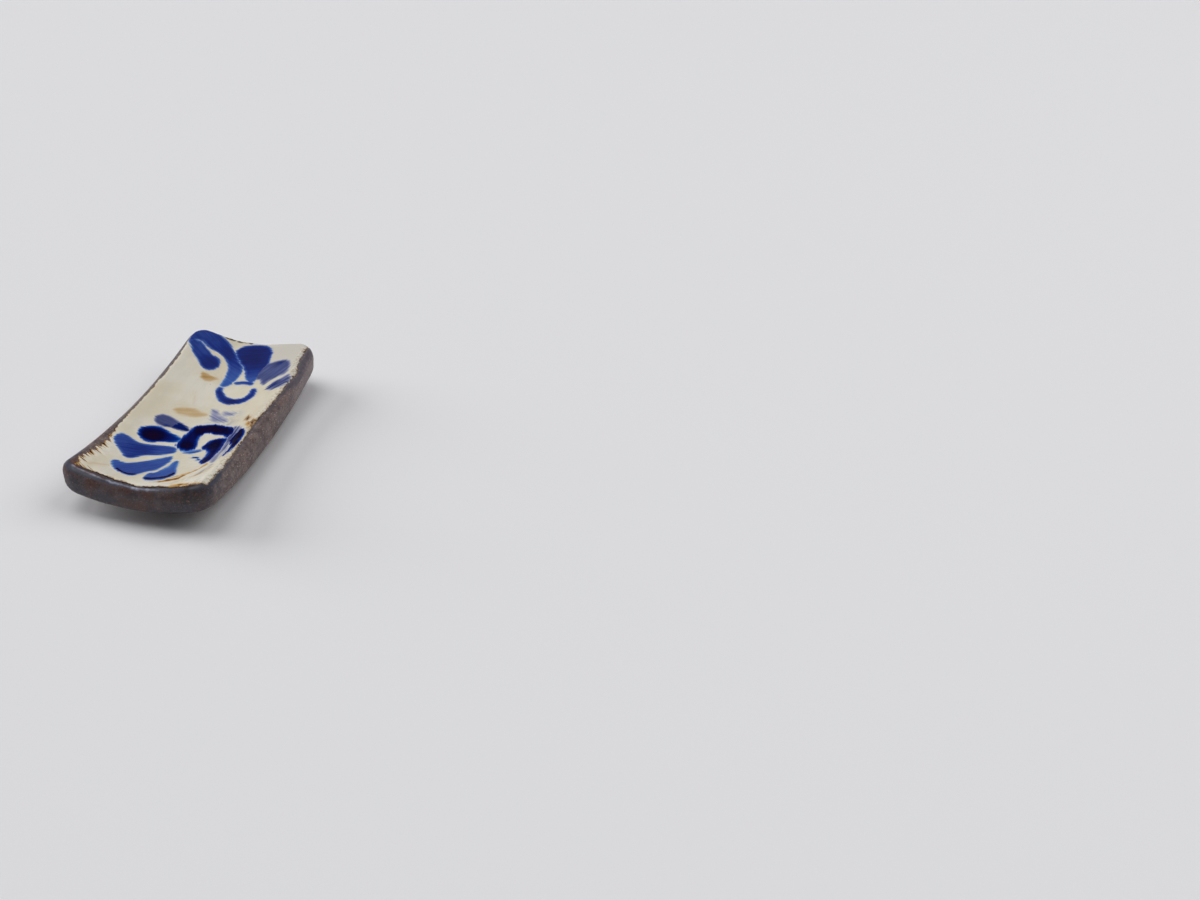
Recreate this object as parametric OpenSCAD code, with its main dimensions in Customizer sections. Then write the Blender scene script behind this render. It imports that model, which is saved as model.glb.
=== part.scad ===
// Stoneware chopstick rest: a pressed slab with a dished top, a white glaze field and brushwork.
// Lengths are millimetres. +X runs to the narrower end, +Z is up, and z = 0 is the rubbed foot.

/* [Slab] */
// Length of the slab between its corners
body_len = 53; // [46:0.5:62]
// Width of the wider end
near_w = 28.2; // [25:0.2:32]
// Width of the narrower end
far_w = 25.2; // [23:0.2:30]
// Thickness of the clay under the glaze
clay_t = 5; // [4.4:0.1:6.5]
// Rounding of the corners, seen from above
corner_r = 3.7; // [3:0.1:5.5]
// How far the middle of each end bows outward
end_bow = 0.6; // [0:0.1:1.2]
// How far the middle of each long side bows outward
side_bow = 0.15; // [0:0.05:0.5]
// How much the walls lean in towards the belly
wall_lean = 0.1; // [0:0.05:0.5]

/* [Dish] */
// Radius of the lengthwise bend, measured on the glaze
bend_r = 120; // [95:5:180]
// Radius of the crosswise hollow, measured on the glaze
dish_r = 42; // [36:1:60]
// Distance of the lowest point from the middle, towards the narrower end
low_shift = 1.1; // [0:0.1:2.5]

/* [Edges] */
// Rounding of the rim
rim_round = 2.8; // [2:0.1:3.2]
// Rounding between the wall and the belly
belly_round = 1.5; // [1:0.1:1.6]
// How far the belly trims into its rounding, which leaves a soft arris
belly_arris = 0.2; // [0.1:0.05:0.3]
// How deep the foot is rubbed flat
foot_cut = 0.3; // [0.2:0.05:0.5]

/* [Glaze] */
// Thickness of the white glaze
glaze_t = 0.3; // [0.2:0.05:0.45]
// Bare strip that the glaze leaves at the rim everywhere
rim_strip = 0.1; // [0.05:0.05:0.4]
// Widest bare strip, at the corner where the glaze was wiped back
wiped_strip = 1.6; // [0.8:0.1:2]
// Depth of the teeth that the coarse brush left in the border
comb_depth = 0.6; // [0.2:0.1:1]
// Waviness of the rest of the border
border_wave = 0.08; // [0.02:0.02:0.14]

/* [Brushwork] */
// Thickness of the cobalt that stands on the glaze
cobalt_t = 0.08; // [0.05:0.01:0.14]
// Thickness of the thinner iron-brown touches
iron_t = 0.05; // [0.03:0.01:0.1]

/* [Hidden] */

// The most of the slab's thickness that its two roundings may take
rim_limit_share = 0.6;
belly_limit_share = 0.3;
// The least corner rounding that an inset ring keeps
least_corner_share = 0.1;
// The share of each quarter turn that its corner takes
corner_turn_share = 0.15;

// Worked out from the driving sizes
full_t = clay_t + glaze_t;
mid_w = (near_w + far_w)/2;
taper = (far_w - near_w)/(far_w + near_w);
half_len = body_len/2;
half_wid = mid_w/2;
low_z = full_t - foot_cut;
axis_z = low_z + bend_r;
ring_r = bend_r - dish_r;
rim_r = min(rim_round, full_t*rim_limit_share);
belly_r = min(belly_round, full_t*belly_limit_share);
// Inset of the rim's crest, where the clay's top meets its rounding
crest_inset = rim_r*(1 - sin(acos(1 - glaze_t/rim_r)));
// One overrun that every cut and blank uses
overrun = 4;

// Steps of the slab's corners, long sides and ends
corner_steps = 7;
side_steps = [20, 10, 20, 10];
// The glaze border is finer on the long side that the coarse brush combed
border_steps = [72, 14, 26, 12];
// Angle of the rim's rounding at which the blank's upright top starts
rim_start = 12;
round_steps = 6;
// Half of the sweep of the bent surfaces about their axis
sweep_half = 20;
// Steps between two points of a brushed outline
stroke_steps = 4;
$fn = 240;

// The glaze border: share of a turn from the first corner, and the bare strip there as a share
// of the wiped strip. Each quarter of the turn is a corner and then the side that follows it.
bare_shares = [[0, 0.05], [0.04, 0.1], [0.14, 0.15], [0.16, 0.25], [0.185, 0.5], [0.2, 0.85],
    [0.245, 0.95], [0.268, 1], [0.3, 0.85], [0.32, 0.65], [0.34, 0.45], [0.362, 0.3], [0.38, 0.05],
    [0.39, 0], [0.59, 0], [0.61, 0.25], [0.66, 0.35], [0.72, 0.1], [0.75, 0], [0.89, 0],
    [0.905, 0.45], [0.95, 0.45], [0.97, 0.1], [1, 0.05]];
// Where the combed stretch of the border starts and ends, as shares of a turn
comb_shares = [0.185, 0.25];
// Length of the shortest tooth, as a share of the comb's depth
short_tooth_share = 0.2;
// Waves of the border in one turn
border_waves = 17;

// Outlines of the brushwork, as shares of the half length and the half width
fan_1_shares = [[-0.08, 0.555], [-0.03, 0.525], [-0.015, 0.45], [-0.03, 0.335], [-0.07, 0.17],
    [-0.115, 0.02], [-0.16, 0.02], [-0.16, 0.135], [-0.15, 0.255], [-0.16, 0.365], [-0.14, 0.485]];
fan_2_shares = [[-0.27, 0.6], [-0.22, 0.575], [-0.177, 0.465], [-0.175, 0.35], [-0.21, 0.21],
    [-0.255, 0.02], [-0.305, 0.02], [-0.34, 0.185], [-0.375, 0.32], [-0.365, 0.465], [-0.325, 0.56]];
fan_3_shares = [[-0.43, 0.785], [-0.38, 0.765], [-0.375, 0.675], [-0.41, 0.495], [-0.415, 0.375],
    [-0.385, 0.135], [-0.39, 0.005], [-0.425, -0.06], [-0.47, -0.06], [-0.515, 0.075], [-0.56, 0.24],
    [-0.635, 0.36], [-0.625, 0.455], [-0.55, 0.615], [-0.485, 0.74]];
fan_4_shares = [[-0.73, 0.55], [-0.7, 0.5], [-0.705, 0.335], [-0.625, 0.155], [-0.515, -0.06],
    [-0.515, -0.12], [-0.585, -0.14], [-0.715, -0.11], [-0.775, 0], [-0.865, 0.105], [-0.87, 0.21],
    [-0.84, 0.38], [-0.785, 0.495]];
fan_5_shares = [[-0.875, -0.06], [-0.79, -0.05], [-0.76, -0.125], [-0.66, -0.185], [-0.57, -0.21],
    [-0.575, -0.27], [-0.66, -0.32], [-0.755, -0.4], [-0.825, -0.375], [-0.885, -0.27], [-0.9, -0.14]];
arch_shares = [[-0.44, -0.2], [-0.42, -0.105], [-0.37, -0.04], [-0.235, -0.01], [-0.115, -0.02],
    [-0.065, -0.11], [-0.04, -0.335], [-0.065, -0.54], [-0.115, -0.62], [-0.19, -0.605],
    [-0.185, -0.545], [-0.165, -0.42], [-0.155, -0.305], [-0.19, -0.215], [-0.24, -0.21],
    [-0.33, -0.285], [-0.4, -0.315]];
heart_shares = [[-0.595, -0.605], [-0.56, -0.565], [-0.49, -0.575], [-0.425, -0.57], [-0.385, -0.48],
    [-0.355, -0.405], [-0.305, -0.38], [-0.255, -0.435], [-0.225, -0.545], [-0.26, -0.63],
    [-0.36, -0.65], [-0.465, -0.65], [-0.53, -0.68], [-0.585, -0.66]];
tail_shares = [[-0.1, -0.735], [-0.165, -0.725], [-0.24, -0.74], [-0.355, -0.795], [-0.485, -0.8],
    [-0.415, -0.84], [-0.34, -0.86], [-0.2, -0.855], [-0.13, -0.81]];
wash_shares = [[-0.485, -0.73], [-0.34, -0.695], [-0.2, -0.66], [-0.115, -0.655], [-0.075, -0.635],
    [-0.1, -0.68], [-0.22, -0.695], [-0.315, -0.74], [-0.405, -0.77], [-0.485, -0.765]];
feather_low_shares = [[-0.555, -0.52], [-0.54, -0.455], [-0.495, -0.38], [-0.465, -0.39],
    [-0.485, -0.485], [-0.52, -0.53]];
feather_high_shares = [[-0.48, -0.26], [-0.46, -0.225], [-0.44, -0.315], [-0.415, -0.35],
    [-0.43, -0.385], [-0.47, -0.35]];
leaf_inner_shares = [[0.76, 0.78], [0.8, 0.78], [0.805, 0.705], [0.79, 0.615], [0.76, 0.57],
    [0.72, 0.425], [0.68, 0.315], [0.625, 0.275], [0.58, 0.335], [0.58, 0.425], [0.625, 0.57],
    [0.7, 0.735]];
leaf_outer_shares = [[0.84, 0.795], [0.9, 0.8], [0.935, 0.74], [0.94, 0.645], [0.915, 0.455],
    [0.86, 0.29], [0.77, 0.135], [0.7, -0.005], [0.64, -0.09], [0.56, -0.11], [0.475, -0.06],
    [0.43, -0.005], [0.44, 0.065], [0.535, 0.085], [0.625, 0.11], [0.725, 0.27], [0.755, 0.38],
    [0.77, 0.53], [0.81, 0.615], [0.825, 0.705]];
heart_petal_shares = [[0.8, 0.115], [0.84, 0.125], [0.885, 0.035], [0.915, -0.135], [0.9, -0.27],
    [0.84, -0.365], [0.71, -0.42], [0.605, -0.425], [0.525, -0.39], [0.47, -0.33], [0.485, -0.27],
    [0.565, -0.205], [0.655, -0.125], [0.725, 0]];
right_petal_shares = [[0.53, -0.51], [0.595, -0.455], [0.69, -0.455], [0.735, -0.51], [0.76, -0.63],
    [0.74, -0.71], [0.64, -0.755], [0.59, -0.74], [0.54, -0.63], [0.485, -0.57]];
streaked_shares = [[0.455, -0.6], [0.5, -0.61], [0.545, -0.7], [0.57, -0.795], [0.54, -0.845],
    [0.475, -0.855], [0.445, -0.78], [0.44, -0.675]];
stem_line_shares = [[0.475, -0.125], [0.49, -0.125], [0.51, -0.205], [0.495, -0.215]];
scroll_shares = [[0.41, 0.08], [0.335, 0.05], [0.26, -0.065], [0.235, -0.24], [0.27, -0.42],
    [0.355, -0.515], [0.44, -0.465], [0.425, -0.395], [0.36, -0.405], [0.315, -0.345], [0.3, -0.24],
    [0.325, -0.12], [0.385, -0.02], [0.415, 0.005]];
middle_long_shares = [[0.025, -0.185], [0.075, -0.11], [0.14, -0.08], [0.14, -0.155], [0.085, -0.24],
    [0.05, -0.32], [0.025, -0.405], [0.015, -0.3]];
middle_short_shares = [[0.095, -0.3], [0.13, -0.245], [0.135, -0.36], [0.12, -0.435], [0.095, -0.39]];
dab_shares = [[0.45, 0.29], [0.47, 0.375], [0.525, 0.4], [0.515, 0.305], [0.5, 0.215], [0.47, 0.225]];
spot_shares = [[0.02, -0.66], [0.055, -0.62], [0.115, -0.635], [0.085, -0.71], [0.035, -0.72]];
brown_shares = [[0, 0.395], [0.065, 0.425], [0.105, 0.335], [0.13, 0.135], [0.1, 0.035],
    [0.025, 0.065], [-0.005, 0.195], [0, 0.305]];

// Colours as the fired piece shows them
clay_colour = [0.4, 0.34, 0.33];
glaze_colour = [0.78, 0.75, 0.68];
pale_blue = [0.28, 0.32, 0.5];
mid_blue = [0.18, 0.24, 0.48];
deep_blue = [0.1, 0.11, 0.34];
iron_colour = [0.62, 0.5, 0.36];
spot_colour = [0.3, 0.23, 0.26];

// The plan of the slab: stations run round a core rectangle, each with its share of the core,
// its outward direction and its share of a turn, so that an inset ring keeps the same stations
corner_signs = [[1, 1], [-1, 1], [-1, -1], [1, -1]];
function corner_stations(k, steps) = [for (i = [0:steps])
    let (a = 90*(k + i/steps))
    [corner_signs[k], [cos(a), sin(a)], (k + corner_turn_share*i/steps)/4]];
function side_stations(k, steps) = [for (i = [1:steps - 1])
    let (a = 90*(k + 1), s = i/steps)
    [corner_signs[k]*(1 - s) + corner_signs[(k + 1)%4]*s, [cos(a), sin(a)],
        (k + corner_turn_share + (1 - corner_turn_share)*s)/4]];
function stations(steps) = [for (k = [0:3])
    each concat(corner_stations(k, corner_steps), side_stations(k, steps[k]))];

// Ends and sides bow outward, and the slab tapers to its far end
function bowed(p) = let (u = p.x/half_len, v = p.y/half_wid)
    [p.x + end_bow*u*(1 - v*v), (p.y + side_bow*v*(1 - u*u))*(1 + taper*u)];
function plan_point(station, inset) = let (r = max(corner_r - inset, corner_r*least_corner_share))
    bowed([station[0].x*(half_len - inset - r), station[0].y*(half_wid - inset - r)] + station[1]*r);

// Height of the dished surface at a depth below the glaze
function dish_z(p, depth) = let (swing = ring_r + sqrt(pow(dish_r + depth, 2) - p.y*p.y))
    axis_z - sqrt(swing*swing - pow(p.x - low_shift, 2));

// Insets and depths of the blank's rings, from the rim round to the belly
wall_end = full_t + belly_arris - belly_r;
edge_rings = concat(
    [for (i = [0:round_steps]) let (a = rim_start + (90 - rim_start)*i/round_steps)
        [rim_r*(1 - sin(a)), rim_r*(1 - cos(a))]],
    [for (i = [0:round_steps]) let (a = 90*i/round_steps)
        [wall_lean + belly_r*(1 - cos(a)), wall_end + belly_r*sin(a)]]);
top_z = axis_z - ring_r;
slab_stations = stations(side_steps);
station_count = len(slab_stations);
ring_count = len(edge_rings) + 2;

function ring_points(ring) = [for (s = slab_stations)
    let (p = plan_point(s, ring[0])) [p.x, p.y, dish_z(p, ring[1])]];
function level_points(ring, z) = [for (s = slab_stations)
    let (p = plan_point(s, ring[0])) [p.x, p.y, z]];
function band_faces(r) = [for (i = [0:station_count - 1])
    let (a = r*station_count + i, b = r*station_count + (i + 1)%station_count)
    each [[a, b, b + station_count], [a, b + station_count, a + station_count]]];

// The blank runs past the dish above and past the foot below, where other cuts finish it
module slab_blank() {
    last = edge_rings[len(edge_rings) - 1];
    points = concat(level_points(edge_rings[0], low_z + 2*overrun),
        [for (ring = edge_rings) each ring_points(ring)],
        level_points(last, -overrun));
    faces = concat([[for (i = [station_count - 1:-1:0]) i]],
        [for (r = [0:ring_count - 2]) each band_faces(r)],
        [[for (i = [0:station_count - 1]) (ring_count - 1)*station_count + i]]);
    polyhedron(points, faces);
}

// Everything above the dished surface at a depth below the glaze
module above_dish(depth) {
    reach = half_wid*2;
    translate([low_shift, 0, axis_z])
        rotate([90, 0, 0])
            rotate_extrude(angle = 2*sweep_half, start = 270 - sweep_half)
                intersection() {
                    translate([ring_r, 0])
                        circle(r = dish_r + depth);
                    translate([ring_r + dish_r - reach, -reach/2 - overrun])
                        square([2*reach, reach + 2*overrun]);
                }
}

// A closed outline as one smooth line through its points
function smooth_at(a, b, c, d, t) =
    (2*b + (c - a)*t + (2*a - 5*b + 4*c - d)*t*t + (3*b - 3*c + d - a)*t*t*t)/2;
function smooth_outline(pts) = let (n = len(pts)) [for (i = [0:n - 1]) for (j = [0:stroke_steps - 1])
    smooth_at(pts[(i + n - 1)%n], pts[i], pts[(i + 1)%n], pts[(i + 2)%n], j/stroke_steps)];

// A film that lies on the dish between two depths, within an outline seen from above
module film(top_depth, bottom_depth) {
    intersection() {
        translate([0, 0, -overrun])
            linear_extrude(low_z + 4*overrun)
                children();
        difference() {
            above_dish(bottom_depth);
            above_dish(top_depth);
        }
    }
}
module brushed(shares, thickness) {
    film(-thickness, 0)
        polygon([for (s = smooth_outline(shares)) [s.x*half_len, s.y*half_wid]]);
}

module clay_body() {
    color(clay_colour)
        difference() {
            intersection() {
                slab_blank();
                above_dish(full_t);
                translate([-half_len - overrun, -half_wid - overrun, 0])
                    cube([body_len + 2*overrun, mid_w + 2*overrun, low_z + 3*overrun]);
            }
            above_dish(glaze_t);
        }
}

// Every second station of the combed stretch is a tooth, of uneven length
function tooth(i) = i%2 == 0 ? 0
    : comb_depth*(short_tooth_share + (1 - short_tooth_share)*(1 + sin(7*i*i))/2);
// The bare strip at a share of the way round
function bare_strip(share, i) = rim_strip + wiped_strip*lookup(share, bare_shares)
    + (share > comb_shares[0] && share < comb_shares[1]
        ? tooth(i)
        : border_wave*(1 + sin(360*border_waves*share)));

module white_glaze() {
    border = stations(border_steps);
    color(glaze_colour)
        film(0, glaze_t)
            polygon([for (i = [0:len(border) - 1])
                plan_point(border[i], crest_inset + bare_strip(border[i][2], i))]);
}

module fan_petal_1() { color(pale_blue) brushed(fan_1_shares, cobalt_t); }
module fan_petal_2() { color(deep_blue) brushed(fan_2_shares, cobalt_t); }
module fan_petal_3() { color(mid_blue) brushed(fan_3_shares, cobalt_t); }
module fan_petal_4() { color(mid_blue) brushed(fan_4_shares, cobalt_t); }
module fan_petal_5() { color(mid_blue) brushed(fan_5_shares, cobalt_t); }
module curl_arch() { color(deep_blue) brushed(arch_shares, cobalt_t); }
module curl_heart() { color(deep_blue) brushed(heart_shares, cobalt_t); }
module curl_tail() { color(deep_blue) brushed(tail_shares, cobalt_t); }
module curl_wash() { color(pale_blue) brushed(wash_shares, cobalt_t); }
module curl_feather() {
    color(pale_blue) {
        brushed(feather_low_shares, cobalt_t);
        brushed(feather_high_shares, cobalt_t);
    }
}
module leaf_inner() { color(mid_blue) brushed(leaf_inner_shares, cobalt_t); }
module leaf_outer() { color(mid_blue) brushed(leaf_outer_shares, cobalt_t); }
module heart_petal() { color(deep_blue) brushed(heart_petal_shares, cobalt_t); }
module right_petal() { color(pale_blue) brushed(right_petal_shares, cobalt_t); }
module streaked_petal() { color(pale_blue) brushed(streaked_shares, cobalt_t); }
module stem_line() { color(mid_blue) brushed(stem_line_shares, cobalt_t); }
module scroll_stem() { color(mid_blue) brushed(scroll_shares, cobalt_t); }
module middle_feather() {
    color(pale_blue) {
        brushed(middle_long_shares, cobalt_t);
        brushed(middle_short_shares, cobalt_t);
    }
}
module iron_dab() { color(iron_colour) brushed(dab_shares, iron_t); }
module iron_spot() { color(spot_colour) brushed(spot_shares, iron_t); }
module iron_wash() { color(iron_colour) brushed(brown_shares, iron_t); }

clay_body();
white_glaze();
fan_petal_1();
fan_petal_2();
fan_petal_3();
fan_petal_4();
fan_petal_5();
curl_arch();
curl_heart();
curl_tail();
curl_wash();
curl_feather();
leaf_inner();
leaf_outer();
heart_petal();
right_petal();
streaked_petal();
stem_line();
scroll_stem();
middle_feather();
iron_dab();
iron_spot();
iron_wash();
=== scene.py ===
"""Looks of the stoneware chopstick rest: bare clay, brushed white glaze and cobalt brushwork."""
import math

import bpy
import numpy as np
from mathutils import Matrix, Vector


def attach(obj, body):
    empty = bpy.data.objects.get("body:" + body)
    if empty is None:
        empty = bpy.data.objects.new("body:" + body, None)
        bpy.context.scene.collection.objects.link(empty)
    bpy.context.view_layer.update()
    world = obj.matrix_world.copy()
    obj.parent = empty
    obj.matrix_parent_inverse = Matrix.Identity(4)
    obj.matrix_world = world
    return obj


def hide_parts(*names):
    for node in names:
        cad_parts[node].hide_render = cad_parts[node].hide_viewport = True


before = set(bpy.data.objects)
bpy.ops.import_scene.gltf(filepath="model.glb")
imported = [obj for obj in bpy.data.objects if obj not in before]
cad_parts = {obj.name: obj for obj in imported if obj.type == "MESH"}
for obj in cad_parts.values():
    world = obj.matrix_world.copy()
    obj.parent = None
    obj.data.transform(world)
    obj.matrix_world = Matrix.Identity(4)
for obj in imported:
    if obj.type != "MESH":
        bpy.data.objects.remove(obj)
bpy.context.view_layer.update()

# Sizes of the slab in millimetres, as in the part's source
BODY_LEN, NEAR_W, FAR_W = 53.0, 28.2, 25.2
GLAZE_T, FULL_T = 0.3, 5.3
CORNER_R, END_BOW, SIDE_BOW = 3.7, 0.6, 0.15
BEND_R, DISH_R, LOW_SHIFT = 120.0, 42.0, 1.1
RIM_R, BELLY_R, BELLY_ARRIS, WALL_LEAN, FOOT_CUT = 2.8, 1.5, 0.2, 0.1, 0.3
HALF_LEN, HALF_WID = BODY_LEN / 2, (NEAR_W + FAR_W) / 4
TAPER = (FAR_W - NEAR_W) / (FAR_W + NEAR_W)
AXIS_Z, RING_R = FULL_T - FOOT_CUT + BEND_R, BEND_R - DISH_R
WALL_END = FULL_T + BELLY_ARRIS - BELLY_R
MM = 0.001

# A sag of the far edge: its depth, the stretch of x that it grows over, and y and width of its hollows
SAG, SAG_START, SAG_END = 0.5, 17, 26
SAG_HOLLOWS = [(3.6, 3.4), (-1.2, 3.6)]

# Sizes of the finish, in millimetres. Mesh cells, corners of the glaze, lip of the near end, grains of grit
GLAZE_CELL, INK_CELL = 0.165, 0.095
GLAZE_CORNER, FAR_LEFT_MORE = 0.7, 2.5
LIP_H, GRAIN_R = 0.19, 0.075
# How far the glaze reaches into the clay and a film into the glaze
GLAZE_DEPTH, INK_DEPTH = 0.15, 0.06
# How high the edge of a film lies, and how much higher its middle
EDGE_LIFT, INK_LIFT = 0.008, 0.022
# How far a film fades past its stroke, how far it keeps from the glaze's border, and the room around it
BLEED, INK_MARGIN = 0.3, 0.08
BOX_MARGIN = BLEED + 0.4
# How many times further the hair marks reach past a stroke than its ragged edge does
BRISTLE = 4.0


# Repeatable noise

def lattice(ix, iy, iz, seed):
    """A repeatable value from 0 to 1 at each whole-number point."""
    h = (ix * 374761393 + iy * 668265263 + iz * 1103515245 + seed * 362437) & 0xFFFFFFFF
    h = ((h ^ (h >> 13)) * 1274126177) & 0xFFFFFFFF
    h = ((h ^ (h >> 16)) * 668265263) & 0xFFFFFFFF
    return ((h >> 8) & 0xFFFF) / 65535.0


def noise(x, y, z=0.0, seed=0):
    """Smooth noise from -1 to 1 with a grain of one unit."""
    x, y, z = np.broadcast_arrays(np.asarray(x, float), y, z)
    cells = [np.floor(c) for c in (x, y, z)]
    part = [c - f for c, f in zip((x, y, z), cells)]
    ux, uy, uz = [p * p * (3 - 2 * p) for p in part]
    ix, iy, iz = [f.astype(np.int64) for f in cells]
    total = 0.0
    for a, b, c in np.ndindex(2, 2, 2):
        w = (ux if a else 1 - ux) * (uy if b else 1 - uy) * (uz if c else 1 - uz)
        total = total + w * lattice(ix + a, iy + b, iz + c, seed)
    return 2 * total - 1


def clouds(x, y, z=0.0, seed=0, octaves=3):
    """Noise in several grains, each half the size of the last."""
    total, weight = 0.0, 0.0
    for k in range(octaves):
        s = 2.0 ** k
        total = total + noise(x * s, y * s, np.asarray(z) * s, seed + 17 * k) / s
        weight += 1 / s
    return total / weight


def smooth(low, high, v):
    """0 below low, 1 above high, with a soft turn."""
    t = np.clip((v - low) / (high - low), 0, 1)
    return t * t * (3 - 2 * t)


def bell(v, width):
    """1 at zero, falling away to both sides."""
    return np.exp(-(v / width) ** 2)


# The dished slab

def dish(x, y, depth):
    """Height of the dished surface at a depth below the glaze."""
    swing = RING_R + np.sqrt((DISH_R + depth) ** 2 - y * y)
    sag = SAG * smooth(SAG_START, SAG_END, x) * sum(bell(y - middle, width) for middle, width in SAG_HOLLOWS)
    return AXIS_Z - np.sqrt(swing * swing - (x - LOW_SHIFT) ** 2) - sag


def unbowed(x, y):
    """Where a plan point lies before ends and sides bow and the slab tapers."""
    px, py = x, y
    for _ in range(5):
        u, v = px / HALF_LEN, py / HALF_WID
        px, py = x - END_BOW * u * (1 - v * v), y / (1 + TAPER * u) - SIDE_BOW * v * (1 - u * u)
    return px, py


def bowed(px, py):
    """Where a plan point goes as ends and sides bow and the slab tapers."""
    u, v = px / HALF_LEN, py / HALF_WID
    return px + END_BOW * u * (1 - v * v), (py + SIDE_BOW * v * (1 - u * u)) * (1 + TAPER * u)


def rounded_inset(side, end, radius):
    """Distance inside a rounded corner, from the distances inside its side and its end."""
    a, b = radius - side, radius - end
    return radius - np.hypot(np.maximum(a, 0), np.maximum(b, 0)) - np.minimum(np.maximum(a, b), 0)


def edge_inset(x, y):
    """Distance inside the slab's outline, seen from above."""
    px, py = unbowed(x, y)
    return rounded_inset(HALF_WID - np.abs(py), HALF_LEN - np.abs(px), CORNER_R)


def soft_max(a, b, k):
    """The larger of two values, with a soft turn of width k between them."""
    return 0.5 * (a + b + np.sqrt((a - b) ** 2 + k * k))


def rim_depth(inset):
    """Depth of the rounded rim at an inset from the outline."""
    i = np.clip(inset, 0, RIM_R)
    return RIM_R - np.sqrt(np.maximum(RIM_R ** 2 - (RIM_R - i) ** 2, 0))


def clay_relief(x, y):
    """Low unevenness of the pressed clay's top, always downward."""
    return 0.05 + 0.035 * clouds(x / 2.6, y / 2.6, seed=3) + 0.015 * clouds(x / 0.5, y / 0.5, seed=5)


def clay_top(x, y):
    """Height of the clay's top, seen from above, out to the wall."""
    inset = edge_inset(x, y)
    depth = soft_max(rim_depth(inset), GLAZE_T, 0.1)
    return dish(x, y, depth) - clay_relief(x, y) * smooth(0.1, 0.6, inset)


# The border of the white glaze: places along x on the sides and y on the ends, and its inset there
LEFT_BORDER = (
    [-26, -22.5, -20, -16, -12, -10, -8, -4, 0, 7, 14, 20, 23, 25],
    [2.3, 2.15, 2.25, 2.6, 2.4, 2.2, 2, 1.8, 1.65, 1.6, 1.55, 1.45, 1.1, 0.75])
RIGHT_BORDER = (
    [-24, -20, -16, -12, -8, -4, -2, 0, 3, 8, 12, 14.5, 16.7, 18.5, 20.3, 22.4, 24],
    [0.85, 1, 1.2, 1.5, 1.85, 2.2, 2.5, 2.6, 2.2, 1.7, 1.5, 1.15, 1, 1.25, 1.55, 1.6, 1.3])
NEAR_BORDER = (
    [-12, -10.8, -9.5, -7, -4, -1, 1.5, 3, 5, 7, 9, 11],
    [2.3, 2.1, 1.4, 1.5, 1.35, 1.2, 1.45, 1.55, 1.9, 2.3, 2.45, 2.3])
FAR_BORDER = (
    [-10, -6, -3, -0.5, 0.6, 1.5, 3, 6, 7.5, 8.5, 11],
    [0.6, 0.55, 0.55, 0.55, 0.75, 0.95, 1.05, 1.05, 1, 0.75, 0.65])


def combed(x, y):
    """1 on the near left side, where the coarse brush left teeth."""
    return smooth(-7.5, -11, x) * smooth(6, 8.5, y)


def glaze_inset(x, y):
    """Distance inside the ragged border of the white glaze."""
    px, py = unbowed(x, y)
    comb = combed(x, y)
    slant, along = 0.87 * x - 0.5 * y, 0.87 * y + 0.5 * x
    teeth = 0.7 * noise(slant / 0.5, along / 3, seed=11) + 0.35 * noise(slant / 1.5, along / 5, seed=12)
    nibble_x = noise(x / 0.42, y / 1.2, seed=13) + 0.6 * noise(x / 1.7, y / 4, seed=14)
    nibble_y = noise(x / 1.2, y / 0.42, seed=15) + 0.6 * noise(x / 4, y / 1.7, seed=16)
    left = HALF_WID - py - np.interp(x, *LEFT_BORDER) - comb * teeth - (1 - comb) * 0.13 * nibble_x
    fine = (0.06 + 0.18 * smooth(8, 15, x)) * noise(x / 0.34, y / 0.9, seed=18)
    right = HALF_WID + py - np.interp(x, *RIGHT_BORDER) - 0.1 * nibble_x - fine
    near = HALF_LEN + px - np.interp(y, *NEAR_BORDER) - 0.14 * nibble_y
    specks = smooth(0, 1, y) * smooth(8, 7, y)
    far = HALF_LEN - px - np.interp(y, *FAR_BORDER) - (0.1 + 0.35 * specks) * nibble_y
    corner = GLAZE_CORNER + FAR_LEFT_MORE * smooth(10, 20, x) * smooth(-8, 0, y)
    return rounded_inset(np.minimum(left, right), np.minimum(near, far), corner)


def glaze_thickness(x, y, inside):
    """Thin at the border and over the rim, full where the glaze pooled."""
    comb = combed(x, y)
    body = (0.32 - 0.2 * comb * smooth(2.6, 0.4, inside)) * smooth(0.4, 2.2, edge_inset(x, y))
    return 0.03 + body * (1 - np.exp(-np.maximum(inside, 0) / (0.22 + 0.5 * comb)))


# Edge of a second coat of glaze, brushed over the near right corner
COAT_EDGE = [(-24.3, -2.6), (-23.9, -4.3), (-23.1, -5.4), (-22.3, -6.5), (-20.7, -7.1), (-18.2, -8.3),
             (-15.9, -9.2)]


def glaze_ridges(x, y, inside):
    """Ridges that the brush pulled along the right side, and slow pooling elsewhere."""
    along, across = 0.985 * x + 0.17 * y, 0.985 * y - 0.17 * x
    band = smooth(-6.5, -9.5, y) * smooth(4, -3, x) * smooth(0.05, 0.7, inside)
    ridges = 0.05 * noise(along / 6, across / 0.42, seed=21) + 0.045 * noise(along / 9, across / 1.1, seed=22)
    ridges = ridges + 0.08 * smooth(1.5, 0.6, inside) * noise(x / 0.9, y / 0.55, seed=24)
    pool = 0.02 * clouds(x / 5, y / 5, seed=23, octaves=2)
    d, side = line_distance(x, y, COAT_EDGE)
    coat = 0.06 * bell(d * side + 0.4, 0.3) - 0.05 * bell(d, 0.22)
    return band * ridges + (pool + coat) * smooth(0.2, 1, inside)


def glaze_top(x, y):
    """Height of the glaze's top."""
    inside = glaze_inset(x, y)
    return clay_top(x, y) + glaze_thickness(x, y, inside) + glaze_ridges(x, y, inside)


# Meshes

def new_object(name, data):
    made = bpy.data.objects.new(name, data)
    bpy.context.scene.collection.objects.link(made)
    return made


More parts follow.
